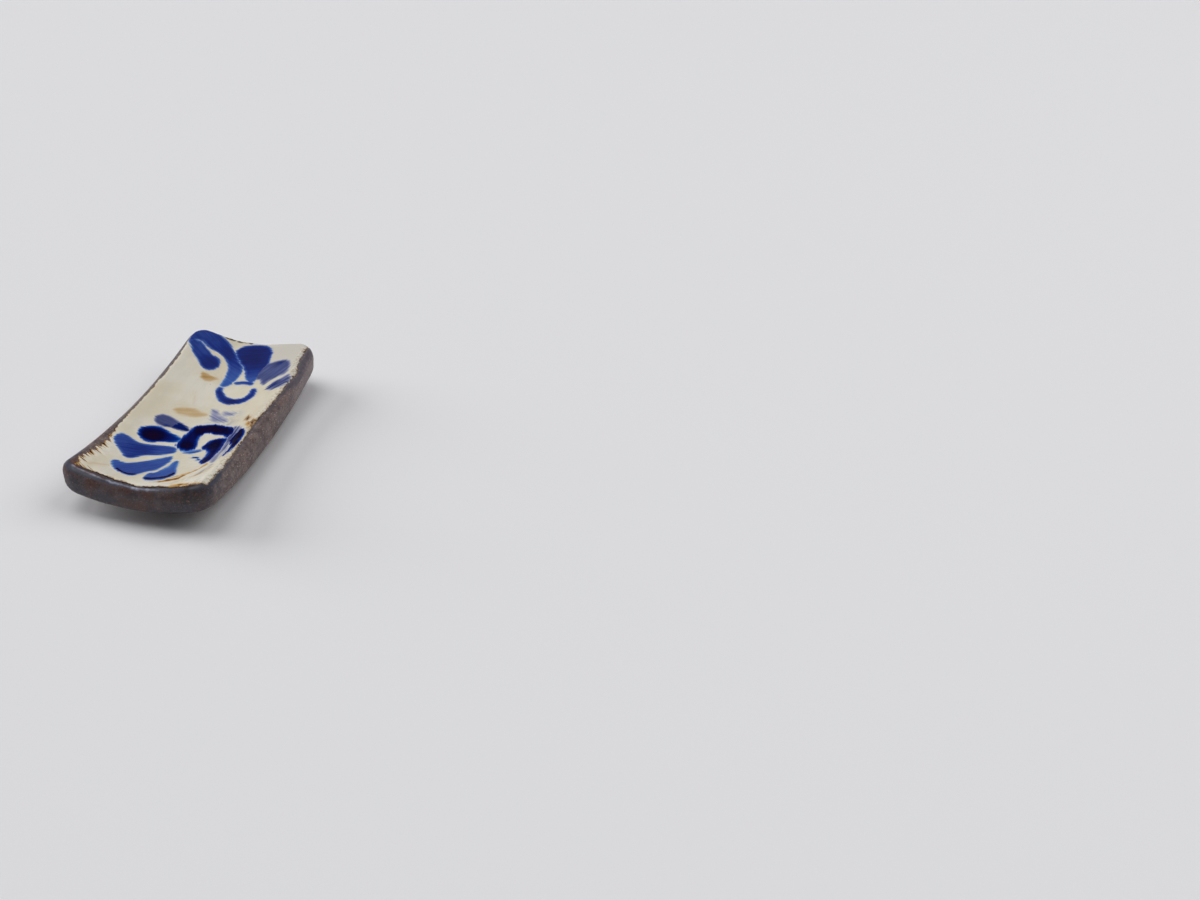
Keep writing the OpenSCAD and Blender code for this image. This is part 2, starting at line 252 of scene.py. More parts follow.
def new_piece(name, points, faces, marks, slot, *nodes):
    """A finished mesh piece in metres, with one float attribute for each mark."""
    mesh = bpy.data.meshes.new(name)
    mesh.from_pydata((np.asarray(points) * MM).tolist(), [], faces)
    for key, values in marks.items():
        layer = mesh.attributes.new(key, "FLOAT", "POINT")
        layer.data.foreach_set("value", np.asarray(values, np.float32).ravel())
    mesh.polygons.foreach_set("use_smooth", [True] * len(mesh.polygons))
    mesh.update()
    piece = new_object(name, mesh)
    piece.data.materials.append(finishes[slot])
    if nodes:
        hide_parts(*nodes)
    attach(piece, "root")
    return piece


# How near a border may come to a mesh point, as a share of the cell
CUT_MARGIN = 0.03


def skin(box, cell, field):
    """Top faces of the area where the field is above zero, cut along its zero line.

    Gives plan x and y of each point, the faces, and the directed border edges."""
    x0, x1, y0, y1 = box
    gx, gy = np.meshgrid(np.arange(x0, x1 + cell, cell), np.arange(y0, y1 + cell, cell), indexing="ij")
    f = field(gx, gy)
    f = np.where(np.abs(f) < 1e-4, 1e-4, f)
    f[0, :] = f[-1, :] = f[:, 0] = f[:, -1] = -1
    inside = f > 0
    node = np.full(f.shape, -1)
    node[inside] = np.arange(inside.sum())
    xs, ys, count, crossings = [gx[inside]], [gy[inside]], int(inside.sum()), []
    for here, there, dx, dy in ((np.s_[:-1], np.s_[1:], cell, 0), (np.s_[:, :-1], np.s_[:, 1:], 0, cell)):
        cut = inside[here] != inside[there]
        t = np.clip((f[here] / np.where(cut, f[here] - f[there], 1))[cut], CUT_MARGIN, 1 - CUT_MARGIN)
        xs.append(gx[here][cut] + t * dx)
        ys.append(gy[here][cut] + t * dy)
        crossing = np.full(cut.shape, -1)
        crossing[cut] = count + np.arange(cut.sum())
        count += int(cut.sum())
        crossings.append(crossing)
    cross_x, cross_y = crossings
    corners = [node[:-1, :-1], node[1:, :-1], node[1:, 1:], node[:-1, 1:]]
    cuts = [cross_x, cross_y[1:], cross_x[:, 1:], cross_y]
    full = np.min(corners, 0) >= 0
    some = (np.max(corners, 0) >= 0) & ~full
    faces, border = np.stack([corner[full] for corner in corners], 1).tolist(), []
    for i, j in zip(*np.nonzero(some)):
        walk, leave = [], []
        for corner, cut in zip(corners, cuts):
            if corner[i, j] >= 0:
                walk.append(int(corner[i, j]))
            if cut[i, j] >= 0:
                if corner[i, j] >= 0:
                    leave.append(len(walk))
                walk.append(int(cut[i, j]))
        faces.append(walk)
        border += [(walk[k], walk[(k + 1) % len(walk)]) for k in leave]
    return np.concatenate(xs), np.concatenate(ys), faces, border


def film_piece(name, box, cell, field, top, under, marks, slot, *nodes):
    """A closed thin piece between two heights, within the zero line of a field."""
    x, y, faces, border = skin(box, cell, field)
    n = len(x)
    points = np.concatenate([np.stack([x, y, top(x, y)], 1), np.stack([x, y, under(x, y)], 1)])
    lower = [[n + k for k in reversed(face)] for face in faces]
    sides = [[b, a, n + a, n + b] for a, b in border]
    values = {key: np.tile(fn(x, y), 2) for key, fn in marks.items()}
    return new_piece(name, points, faces + lower + sides, values, slot, *nodes)


# Lines in plan

def closed_line(points, steps=7):
    """A closed outline as one smooth line through its points."""
    p = np.array(points, float)
    a, b, c, d = np.roll(p, 1, 0), p, np.roll(p, -1, 0), np.roll(p, -2, 0)
    t = (np.arange(steps) / steps)[None, :, None]
    a, b, c, d = [q[:, None, :] for q in (a, b, c, d)]
    line = (2 * b + (c - a) * t + (2 * a - 5 * b + 4 * c - d) * t ** 2 + (3 * b - 3 * c + d - a) * t ** 3) / 2
    return line.reshape(-1, 2)


def inside_distance(x, y, line):
    """Distance inside a closed line, below zero outside it."""
    shape, px, py = x.shape, x.ravel(), y.ravel()
    best = np.full(px.shape, 1e9)
    odd = np.zeros(px.shape, bool)
    for (ax, ay), (bx, by) in zip(line, np.roll(line, -1, 0)):
        ex, ey = bx - ax, by - ay
        t = np.clip(((px - ax) * ex + (py - ay) * ey) / max(ex * ex + ey * ey, 1e-12), 0, 1)
        best = np.minimum(best, (px - ax - t * ex) ** 2 + (py - ay - t * ey) ** 2)
        if ay != by:
            odd ^= ((ay > py) != (by > py)) & (px < ex * (py - ay) / ey + ax)
    return np.where(odd, np.sqrt(best), -np.sqrt(best)).reshape(shape)


def from_segment(x, y, a, b):
    """How far along a segment, from 0 to 1, how far from it, and how far to its left times its length."""
    (ax, ay), (bx, by) = a, b
    ex, ey = bx - ax, by - ay
    t = np.clip(((x - ax) * ex + (y - ay) * ey) / (ex * ex + ey * ey), 0, 1)
    return t, np.hypot(x - ax - t * ex, y - ay - t * ey), ex * (y - ay) - ey * (x - ax)


def line_distance(x, y, points):
    """Distance from an open line, and which side of it: above zero on its left."""
    best, side = np.full(x.shape, 1e9), np.zeros(x.shape)
    for a, b in zip(points, points[1:]):
        _, d, left = from_segment(x, y, a, b)
        side = np.where(d < best, np.sign(left), side)
        best = np.minimum(best, d)
    return best, side


# Brushwork

# Each stroke: outlines in plan, slot, pigment load, spots of more or less load (x, y, radius, change),
# direction of the hair marks in degrees, their depth in the load, and how ragged the edge is
STROKES = {
    # The paler part of this petal, at y above about 3, is painted reflection
    "fan_petal_1": ([[
        (-2.1, 7.45), (-0.8, 7), (-0.4, 6), (-0.75, 4.5), (-1.8, 2.3), (-3.1, 0.25), (-4.2, 0.25),
        (-4.2, 1.8), (-4, 3.4), (-4.2, 4.9), (-3.7, 6.5)]],
        "cobalt_pale", 0.55, [(-4.1, 4.4, 0.8, 0.25)], 78, 0.06, 0.04),
    "fan_petal_2": ([[
        (-7.2, 8), (-5.8, 7.7), (-4.7, 6.2), (-4.6, 4.7), (-5.5, 2.8), (-6.7, 0.25), (-8.1, 0.25),
        (-9, 2.5), (-9.95, 4.3), (-9.7, 6.2), (-8.6, 7.5)]],
        "cobalt_deep", 0.6, [(-7.6, 5, 2.2, 0.4), (-7.2, 0.9, 1.8, -0.12)], 90, 0.08, 0.06),
    "fan_petal_3": ([[
        (-11.4, 10.5), (-10.1, 10.2), (-9.95, 9), (-10.8, 6.6), (-11, 5), (-10.2, 1.8), (-10.2, -0.2),
        (-11, -1.05), (-12.4, -0.9), (-13.7, 1), (-14.8, 3.2), (-16.8, 4.8), (-16.6, 6.1), (-14.6, 8.2),
        (-12.8, 9.9)]],
        "cobalt_mid", 0.51, [(-13.4, 5, 2.8, 0.12), (-11.3, 9.8, 1.6, -0.06), (-11, 0, 2, -0.05)],
        105, 0.09, 0.04),
    "fan_petal_4": ([[
        (-19.5, 6.9), (-18.7, 6.5), (-18.7, 4.5), (-16.6, 2.1), (-13.7, -0.8), (-13.6, -1.6), (-15.5, -1.9),
        (-18.9, -1.45), (-20.6, 0), (-22.9, 1.4), (-22.9, 2.8), (-22.1, 4.8), (-20.9, 6.2)]],
        "cobalt_mid", 0.44, [(-19.6, 6.6, 1.2, -0.1), (-16, -0.4, 2.4, -0.05)], 140, 0.1, 0.04),
    "fan_petal_5": ([[
        (-23.2, -0.8), (-21, -0.7), (-20.2, -1.7), (-17.5, -2.5), (-15.1, -2.8), (-15.3, -3.6),
        (-17.5, -4.25), (-20, -5.35), (-21.8, -5), (-23.4, -3.6), (-23.8, -1.9)]],
        "cobalt_mid", 0.4, [(-17.5, -3.4, 2, -0.06)], 172, 0.1, 0.04),
    "curl_arch": ([[
        (-11.1, -1.9), (-10.4, -1), (-9.1, 0), (-6.3, 0.1), (-4.3, -0.1), (-2.5, -0.1), (-1.7, -0.7),
        (-1.2, -2), (-0.7, -3.7), (-1, -5.5), (-1.4, -7.4), (-2.6, -8.5), (-4.7, -8.4), (-5.4, -7.9),
        (-4.5, -6.8), (-4.2, -4.8), (-3.8, -3.7), (-4.8, -3), (-5.8, -2.9), (-7.1, -3.2), (-8.7, -3.8),
        (-10.2, -3.9), (-11, -2.9)]],
        "cobalt_deep", 0.76, [(-2.4, -3.6, 2.6, 0.2), (-9, -2.2, 1.3, 0.12), (-10.9, -2.1, 0.8, -0.4),
         (-10.6, -3.7, 0.7, -0.25), (-6.4, -1.6, 1.8, -0.06)], 20, 0.08, 0.06),
    "curl_heart": ([[
        (-10, -5.8), (-9.1, -5), (-7.8, -5.1), (-6.6, -5.4), (-5.8, -6.1), (-5.4, -7.6), (-5.8, -8.4),
        (-7, -8.5), (-8.5, -8.8), (-9.7, -9), (-11.6, -9.1), (-13.2, -9), (-14.7, -8.8), (-15.7, -8.3),
        (-15.3, -7.5), (-14.2, -7.2), (-12.9, -7.3), (-11.7, -7.1), (-10.7, -6.7)]],
        "cobalt_deep", 0.72, [(-8.3, -7, 1.6, 0.12), (-14.5, -8.2, 1.4, 0.25)], 5, 0.08, 0.07),
    "curl_tail": ([[
        (-2.2, -9.9), (-3.6, -10.9), (-5.9, -11.3), (-7.3, -11.2), (-8.8, -11.2), (-10.6, -11),
        (-12.8, -10.7), (-11.4, -10.3), (-10, -10.2), (-8.4, -9.9), (-7.7, -9.5), (-6.8, -8.8),
        (-5.5, -8.9), (-3.9, -9), (-2.2, -8.9)]],
        "cobalt_deep", 0.72, [(-4.2, -10.3, 2.8, 0.2), (-8, -10.6, 1.2, 0.2)], 3, 0.32, 0.08),
    # Pale grey-blue streaks over the curl: partly pigment, partly painted reflection
    "curl_wash": ([[
        (-1.5, -7.4), (-1.1, -8.4), (-1.8, -9.2), (-3.5, -9.4), (-4.8, -9.2), (-6.7, -9.3), (-8.2, -9.9),
        (-10.2, -10.4), (-12.2, -10.4), (-14.2, -10.2), (-15.5, -9.8), (-14.8, -9.2), (-13.2, -9),
        (-10.5, -8.9), (-8.5, -8.7), (-6.8, -8.5), (-5.4, -8.3), (-4, -8.4), (-2.6, -8)]],
        "cobalt_pale", 0.34, [(-6.3, -9.1, 1, 0.25), (-12.5, -9.7, 2, -0.12), (-4.4, -8.9, 1.1, 0.2)],
        5, 0.38, 0.05),
    "curl_feather": ([[
        (-10.9, -1.9), (-11.8, -2.6), (-12.1, -4), (-11.7, -4.9), (-10.5, -5.6), (-9.9, -5.2),
        (-10.2, -4.2), (-10.4, -3.1)], [
        (-12.8, -4.9), (-12.6, -5.5), (-13, -6.2), (-13.5, -6.9), (-14.2, -7), (-14.2, -6.3),
        (-13.6, -5.7), (-13.3, -5)]],
        "cobalt_mid", 0.34, [(-13.5, -6.1, 1, 0.4), (-10.6, -3.2, 0.9, 0.1)], 106, 0.5, 0.1),
    "leaf_inner": ([[
        (20.9, 11.3), (21.9, 10.8), (22, 9.4), (21.5, 8.35), (20.8, 7.5), (20.25, 6.6), (19.6, 5.9),
        (19.3, 5), (18.6, 4), (17.3, 3.5), (15.7, 3.8), (15.2, 5), (15.7, 6.5), (16.8, 7.6), (18.4, 9.3),
        (19.7, 10.2)]],
        "cobalt_mid", 0.56, [(17, 5.2, 2, 0.16), (20.4, 9.4, 1.6, -0.05)], 55, 0.08, 0.05),
    "leaf_outer": ([[
        (20.9, 11.3), (23.6, 12), (25.4, 11.2), (25.8, 9.6), (25.5, 7.5), (24.7, 5.6), (23.6, 3.9),
        (21.8, 2.4), (19.5, 0.5), (17.4, -1.1), (15.2, -1.45), (12.8, -1), (11.4, -0.1), (11.6, 0.9),
        (14, 1.05), (16.4, 1.5), (18.4, 2.6), (19.8, 3.9), (20.6, 5.3), (21, 7), (21.6, 8.1), (22.1, 9),
        (22, 9.9)]],
        "cobalt_mid", 0.57, [(20.6, 3.4, 2.8, 0.12), (13.2, 0.2, 3.2, -0.26), (24, 9.6, 1.8, -0.05)],
        60, 0.09, 0.04),
    "heart_petal": ([[
        (21.9, 2.3), (23.3, 2.1), (24.3, 1.3), (25, -0.5), (25, -2.3), (24.1, -3.9), (22.9, -4.8),
        (21.5, -5.1), (19.3, -5.5), (18, -5.5), (16.5, -5.3), (14.9, -5.1), (13.4, -4.7), (13.2, -4),
        (14.6, -2.8), (16.7, -1.75), (18.3, -0.5), (20.05, 1.1)]],
        "cobalt_mid", 0.68, [(20.8, -2, 2.8, 0.1), (14, -4.4, 3, -0.28)], 106, 0.08, 0.05),
    "right_petal": ([[
        (18.9, -4.8), (19.9, -6.4), (20.3, -7.4), (20.4, -8.6), (20, -9.5), (18, -10.3), (16.4, -10.1),
        (15.1, -8.9), (14.1, -7.8), (13, -7.3), (13, -6.6), (14.3, -5.8), (14.8, -4.6), (16.8, -4.2)]],
        "cobalt_pale", 0.48, [(19.8, -7.6, 1.4, 0.16), (15, -7.2, 1.8, 0.04)], -28, 0.1, 0.04),
    "streaked_petal": ([[
        (11.4, -8.1), (12.4, -8.3), (13.9, -8.9), (15, -9.9), (15.9, -10.9), (15.4, -11.5), (14, -11.7),
        (12.4, -11.3), (11.5, -10.2), (11, -9)]],
        "cobalt_pale", 0.44, [(13.4, -9.2, 1.1, 0.26), (12, -8.6, 1.2, 0.22)], -38, 0.4, 0.05),
    "stem_line": ([[
        (13, -1.2), (13.6, -2.3), (13.8, -4), (13.3, -5), (12.6, -4.8), (12.8, -3.2), (12.5, -1.8)]],
        "cobalt_mid", 0.6, [], 106, 0.06, 0.03),
    "scroll_stem": ([[
        (10.9, 1.1), (8.9, 0.7), (6.9, -0.9), (6.2, -3.2), (7.1, -5.6), (9.4, -6.9), (11.6, -6.2),
        (11.2, -5.3), (9.6, -5.4), (8.4, -4.6), (8, -3.2), (8.6, -1.6), (10.2, -0.3), (11, 0.1)]],
        "cobalt_mid", 0.64, [(6.9, -3, 1.8, 0.14)], 60, 0.06, 0.05),
    "middle_feather": ([[
        (0.2, -2.4), (1.8, -1.2), (4, -0.7), (4.1, -2.1), (2.8, -3), (1.9, -4.4), (0.4, -5.8), (0, -4)], [
        (2.4, -3.8), (3.8, -3), (4, -4.8), (3.4, -6.2), (2.3, -5.4)]],
        "cobalt_pale", 0.26, [], 60, 0.14, 0.1),
    "iron_dab": ([[
        (14.2, 6), (13, 5.8), (11.9, 4.8), (11.8, 3.4), (12.6, 2.2), (13.4, 1.7), (14.2, 3.4), (14.6, 5)]],
        "iron_brown", 0.4, [(13.2, 4.9, 1, 0.1)], 106, 0.16, 0.08),
    "iron_spot": ([[
        (0.5, -8.8), (1.4, -8.3), (3, -8.5), (2.2, -9.5), (0.9, -9.6)]],
        "iron_brown", 1, [], 0, 0.1, 0.1),
    "iron_wash": ([[
        (1.5, 6.2), (0.3, 4.6), (0.1, 2.6), (0.3, 0.5), (1.5, -1.2), (2.8, -1.1), (3.6, 1), (3.9, 3.2),
        (3.1, 5.4)]],
        "iron_brown", 0.36, [(1.2, 3, 1.4, -0.06)], 106, 0.14, 0.08),
}

# Lines where the pigment pooled dark: points along each, half width and how much darker
POOLS = {"fan_petal_4": ([(-21.6, 4.9), (-22.3, 3.7), (-22.6, 2.5), (-22.3, 1.1)], 0.2, 1.1),
         "fan_petal_5": ([(-23.1, -0.9), (-23, -2.2), (-22.3, -3.5), (-21.4, -4.5), (-20, -5)], 0.28, 1.6)}
# Where a painted reflection on a stroke ends: a point, the way to the darker side, and how much darker the
# stroke is past it. The paler part before that edge is painted reflection
REFLECTION_EDGES = {"fan_petal_1": (-2.9, 3.2, -0.3, -0.95, 0.36)}
# Thin touches that fade from their middle out, over this width
FADES = {"iron_wash": 1.6, "iron_dab": 0.7, "middle_feather": 0.9, "curl_feather": 0.5}
# Touches that lie over another stroke, and how far above it in millimetres
OVER = {"curl_wash": 0.004, "stem_line": 0.01}


def paint(name, order):
    """One load of the brush, as a thin film that fades into the glaze round its edge."""
    outlines, slot, load, spots, lean, hairs, ragged = STROKES[name]
    lines = [closed_line(points) for points in outlines]
    ends = np.concatenate(lines)
    low, high = ends.min(0) - BOX_MARGIN, ends.max(0) + BOX_MARGIN
    box = (low[0], high[0], low[1], high[1])
    ca, sa = math.cos(math.radians(lean)), math.sin(math.radians(lean))

    def hair_marks(x, y):
        along, across = ca * x + sa * y, ca * y - sa * x
        broad = noise(along / 4.5, across / 0.3, seed=40 + order)
        return 0.6 * broad + 0.4 * noise(along / 2.5, across / 0.14, seed=70 + order)

    def ink(x, y):
        d = inside_distance(x, y, lines[0])
        for line in lines[1:]:
            d = np.maximum(d, inside_distance(x, y, line))
        edge = noise(x / 0.55, y / 0.55, seed=100 + order) + 0.6 * noise(x / 0.2, y / 0.2, seed=130 + order)
        return d + ragged * edge + (BRISTLE * ragged + hairs * 0.35) * hair_marks(x, y) * smooth(0.9, 0, d)

    def strength(x, y):
        total = load + hairs * hair_marks(x, y) + 0.05 * clouds(x / 1.6, y / 1.6, seed=160 + order)
        for sx, sy, radius, change in spots:
            total = total + change * np.exp(-((x - sx) ** 2 + (y - sy) ** 2) / radius ** 2)
        if name in POOLS:
            points, width, change = POOLS[name]
            total = total + change * bell(line_distance(x, y, points)[0], width)
        # Darker past the edge of a painted reflection on the stroke
        if name in REFLECTION_EDGES:
            ox, oy, px, py, change = REFLECTION_EDGES[name]
            past = (x - ox) * px + (y - oy) * py + 0.35 * hair_marks(x, y)
            total = total + change * smooth(-0.12, 0.12, past)
        if name in FADES:
            total = total * smooth(-0.15, FADES[name], ink(x, y))
        return np.clip(total, 0, 1.4)

    def top(x, y):
        lift = INK_LIFT * smooth(-BLEED, 0.7, ink(x, y))
        return glaze_top(x, y) + EDGE_LIFT + OVER.get(name, 0) + lift

    film_piece(
        name, box, INK_CELL, lambda x, y: np.minimum(ink(x, y) + BLEED, glaze_inset(x, y) - INK_MARGIN),
        top, lambda x, y: glaze_top(x, y) - INK_DEPTH, {"ink": ink, "load": strength}, slot, name)


# The bare clay body, from the middle of its top over the rim to the middle of its belly

# Inset of the innermost ring, and inset of the lip against y
MIDDLE_INSET = 12.9
LIP_INSET = ([0, 3.7, 6, 8, 11], [0.95, 1.0, 1.25, 1.5, 1.6])


def clay_profile():
    """Inset and depth of each ring, top first, closest together over the crest and the rim."""
    top = [MIDDLE_INSET, 10.5, 8.5, 6.8, 5.6, 4.8, 4.3, 3.95] + list(np.arange(3.7, 1.05, -0.17))
    rim = [RIM_R * (1 - math.sin(a)) for a in np.radians(np.arange(38, 91, 3.2))]
    rings = [(i, float(soft_max(rim_depth(i), GLAZE_T, 0.1))) for i in top + rim]
    rings += [(WALL_LEAN * s, RIM_R + (WALL_END - RIM_R) * s) for s in np.arange(0.15, 1, 0.16)]
    for b in np.radians(np.arange(0, 76, 6)):
        depth = WALL_END + BELLY_R * math.sin(b)
        rings.append((WALL_LEAN + BELLY_R * (1 - math.cos(b)), -float(soft_max(-depth, -FULL_T, 0.12))))
    belly = list(np.arange(1.55, 3.2, 0.25)) + list(np.arange(3.3, MIDDLE_INSET, 0.4)) + [MIDDLE_INSET]
    return rings + [(i, FULL_T) for i in belly]


def clay_stations(corner=22, side=216, end=96):
    """Core share and outward direction of each station, round the slab from its far left corner.

    Gives the steps along an end as well."""
    signs = [(1, 1), (-1, 1), (-1, -1), (1, -1)]
    core, out = [], []
    for k, steps in enumerate((side, end, side, end)):
        for i in range(corner + 1):
            a = math.radians(90 * (k + i / corner))
            core.append(signs[k])
            out.append((math.cos(a), math.sin(a)))
        for i in range(1, steps):
            s, a = i / steps, math.radians(90 * (k + 1))
            core.append([p * (1 - s) + q * s for p, q in zip(signs[k], signs[(k + 1) % 4])])
            out.append((math.cos(a), math.sin(a)))
    return np.array(core, float), np.array(out, float), end


def clay_faces(rings, count, end):
    """Strips between neighbouring rings, then a cap over the middle of the top and one under the belly."""
    faces = []
    for r in range(rings - 1):
        a = r * count + np.arange(count)
        b = r * count + (np.arange(count) + 1) % count
        faces += np.stack([a, a + count, b + count, b], 1).tolist()
    middle = count - end // 2
    one_way = [(middle + i) % count for i in range(count // 2 + 1)]
    other_way = [(middle - i) % count for i in range(count // 2 + 1)]
    for base, flip in ((0, False), ((rings - 1) * count, True)):
        for i in range(count // 2):
            face = [one_way[i], one_way[i + 1], other_way[i + 1], other_way[i]]
            face = list(dict.fromkeys(base + k for k in face))
            faces.append(face[::-1] if flip else face)
    return faces


def clay_piece():
    """The clay with its pressed unevenness, the lip along its near end, and marks for its looks."""
    core, out, end = clay_stations()
    rings = clay_profile()
    count = len(core)
    grid = np.zeros((len(rings), count, 3))
    inset_at, depth_at = np.zeros((len(rings), count)), np.zeros((len(rings), count))
    for r, (inset, depth) in enumerate(rings):
        radius = max(CORNER_R - inset, CORNER_R * 0.1)
        px = core[:, 0] * (HALF_LEN - inset - radius) + out[:, 0] * radius
        py = core[:, 1] * (HALF_WID - inset - radius) + out[:, 1] * radius
        x, y = bowed(px, py)
        grid[r] = np.stack([x, y, dish(x, y, depth)], 1)
        inset_at[r], depth_at[r] = inset, depth
    along = np.roll(grid, -1, 1) - np.roll(grid, 1, 1)
    down = np.gradient(grid, axis=0)
    normal = np.cross(down, along)
    normal /= np.maximum(np.linalg.norm(normal, axis=2, keepdims=True), 1e-9)
    x, y, z = grid[..., 0], grid[..., 1], grid[..., 2]
    rim = depth_at < RIM_R
    on_top = rim * smooth(0.1, 0.6, inset_at)
    lumps = 0.06 + 0.05 * clouds(x / 3.2, y / 3.2, z / 3.2, seed=31)
    lumps = lumps + 0.02 * clouds(x / 0.6, y / 0.6, z / 0.6, seed=32)
    near = smooth(-12, -22, x)
    wander = np.interp(y, *LIP_INSET) + 0.14 * noise(x / 2.2, y / 2.2, seed=33)
    wander = wander + 0.08 * noise(x / 0.6, y / 0.6, seed=35)
    broken = 0.85 + 0.4 * noise(x / 0.8, y / 0.8, seed=34)
    lip = near * bell(inset_at - wander, 0.15) * rim * broken
    lip *= smooth(-7, -3, y) * smooth(11.8, 10.8, y)
    grid += normal * (LIP_H * lip - lumps * (1 - on_top))[..., None]
    grid[..., 2] -= clay_relief(x, y) * on_top
    grid[..., 2] = np.maximum(grid[..., 2], 0)
    corner = smooth(9, 12.5, y) + smooth(-10, -12.5, y)
    far = smooth(8, 18, x)
    beside = bell(glaze_inset(x, y) + 0.28 + 0.4 * far, 0.18 + 0.5 * far)
    marks = {
        "crest": bell(inset_at - 1, 0.36 + 0.4 * corner) * rim * (0.06 + 0.84 * near),
        "wall": smooth(0.9, 1.9, depth_at) * smooth(5.35, 5.0, depth_at) * smooth(0.2, 0.5, z),
        "lip": np.clip(lip, 0, 1),
        "beside": beside * (depth_at < 2) * (1 - combed(x, y)),
        "scorch": np.exp(-((x + 25.9) / 2) ** 2 - ((y + 10.6) / 3.4) ** 2) * (depth_at < 3.2),
    }
    return new_piece("clay_slab", grid.reshape(-1, 3), clay_faces(len(rings), count, end), marks,
                     "bare_clay", "clay_body")


# Shader building

def srgb(*rgb):
    """A colour written as the eye reads it, from 0 to 255, as linear light."""
    return tuple((c / 255 / 12.92 if c <= 10 else ((c / 255 + 0.055) / 1.055) ** 2.4) for c in rgb) + (1.0,)


class Tree:
    """A few short ways to place and join nodes. A kind without a family name is a shader node."""

    def __init__(self, tree):
        self.tree, self.nodes, self.column = tree, tree.nodes, 0

    def add(self, kind, settings=None, **inputs):
        node = self.nodes.new(kind if "Node" in kind else "ShaderNode" + kind)
        node.location = (self.column * 180, -(self.column % 5) * 160)
        self.column += 1
        for key, value in (settings or {}).items():
            setattr(node, key, value)
        for key, value in inputs.items():
            self.set(node, key, value)
        return node

    def set(self, node, key, value):
        numbered = key[0] == "i" and key[1:].isdigit()
        socket = node.inputs[int(key[1:]) if numbered else key.replace("_", " ")]
        if isinstance(value, bpy.types.NodeSocket):
            self.tree.links.new(value, socket)
        else:
            socket.default_value = value

    def math(self, operation, a, b=0, clamp=False):
        return self.add("Math", {"operation": operation, "use_clamp": clamp}, i0=a, i1=b).outputs[0]

    def times(self, a, b):
        return self.math("MULTIPLY", a, b)

    def minus(self, a, b):
        return self.math("SUBTRACT", a, b)

    def span(self, value, low, high, to_low=0, to_high=1):
        return self.add("MapRange", {"interpolation_type": "SMOOTHSTEP"}, Value=value, From_Min=low,
                        From_Max=high, To_Min=to_low, To_Max=to_high).outputs["Result"]

    def mix(self, share, a, b, blend="MIX"):
        node = self.add("Mix", {"data_type": "RGBA", "blend_type": blend}, i0=share, i6=a, i7=b)
        return node.outputs[2]

    def over(self, colour, *layers):
        """Colours laid over one another, each with its share."""
        for share, layer in layers:
            colour = self.mix(share, colour, layer)
        return colour

    def coords(self):
        return self.add("TexCoord").outputs["Object"]

    def axes(self, coords):
        return self.add("SeparateXYZ", Vector=coords).outputs

    def noise(self, coords, scale, detail=2, rough=0.5, stretch=(1, 1, 1)):
        if stretch != (1, 1, 1):
            coords = self.add("Mapping", Vector=coords, Scale=stretch).outputs[0]
        return self.add("TexNoise", Vector=coords, Scale=scale, Detail=detail, Roughness=rough).outputs[0]

    def mark(self, name):
        return self.add("Attribute", {"attribute_name": name}).outputs["Fac"]

    def ramp(self, value, stops):
        node = self.add("ValToRGB", Fac=value)
        for at, _ in stops[1:-1]:
            node.color_ramp.elements.new(at)
        for element, (at, colour) in zip(node.color_ramp.elements, stops):
            element.position, element.color = at, colour
        return node.outputs[0]


def new_group(name, inputs, outputs, kind="ShaderNodeTree"):
    """A node group with its sockets: label, type and value of each input, label and type of each output."""
    group = bpy.data.node_groups.new(name, kind)
    for label, family, value in inputs:
        socket = group.interface.new_socket(label, in_out="INPUT", socket_type="NodeSocket" + family)
        if value is not None:
            socket.default_value = value
    for label, family in outputs:
        group.interface.new_socket(label, in_out="OUTPUT", socket_type="NodeSocket" + family)
    tree = Tree(group)
    return tree, tree.nodes.new("NodeGroupInput").outputs, tree.nodes.new("NodeGroupOutput")


def use_group(tree, group, **inputs):
    node = tree.nodes.new("ShaderNodeGroup")
    node.node_tree = group
    for key, value in inputs.items():
        tree.set(node, key, value)
    return node.outputs


def grit_group():
    """Fine dark and light grains, as fired stoneware shows them."""
    t, into, out = new_group("clay_grit_marks", [("Grain", "Float", 2600), ("Amount", "Float", 0.5)],
                             [(label, "Float") for label in ("Dark", "Light", "Height", "Sand")])
    coords = t.coords()
    cells = t.add("TexVoronoi", Vector=coords, Scale=into["Grain"]).outputs
    pick = t.add("SeparateColor", Color=cells["Color"]).outputs
    grain = t.times(t.span(cells["Distance"], 0.42, 0.18), t.math("GREATER_THAN", into["Amount"], pick[0]))
    dark = t.times(grain, t.math("LESS_THAN", pick[1], 0.55))
    light = t.times(grain, t.math("GREATER_THAN", pick[1], 0.62))
    t.set(out, "Dark", dark)
    t.set(out, "Light", light)
    t.set(out, "Height", t.math("ADD", t.noise(coords, 5200, 3, 0.6), t.times(t.minus(light, dark), 0.5)))
    t.set(out, "Sand", t.noise(coords, 1900, 4, 0.75))
    return t.tree


# Colours of the glaze's ground, one of them painted shade on its tilted far right corner
GLAZE_PALE, GLAZE_WARM, GLAZE_GREY = srgb(231, 226, 211), srgb(218, 203, 170), srgb(207, 204, 196)
GLAZE_FAR_SHADE, GLAZE_PIT = srgb(208, 204, 195), srgb(150, 128, 98)


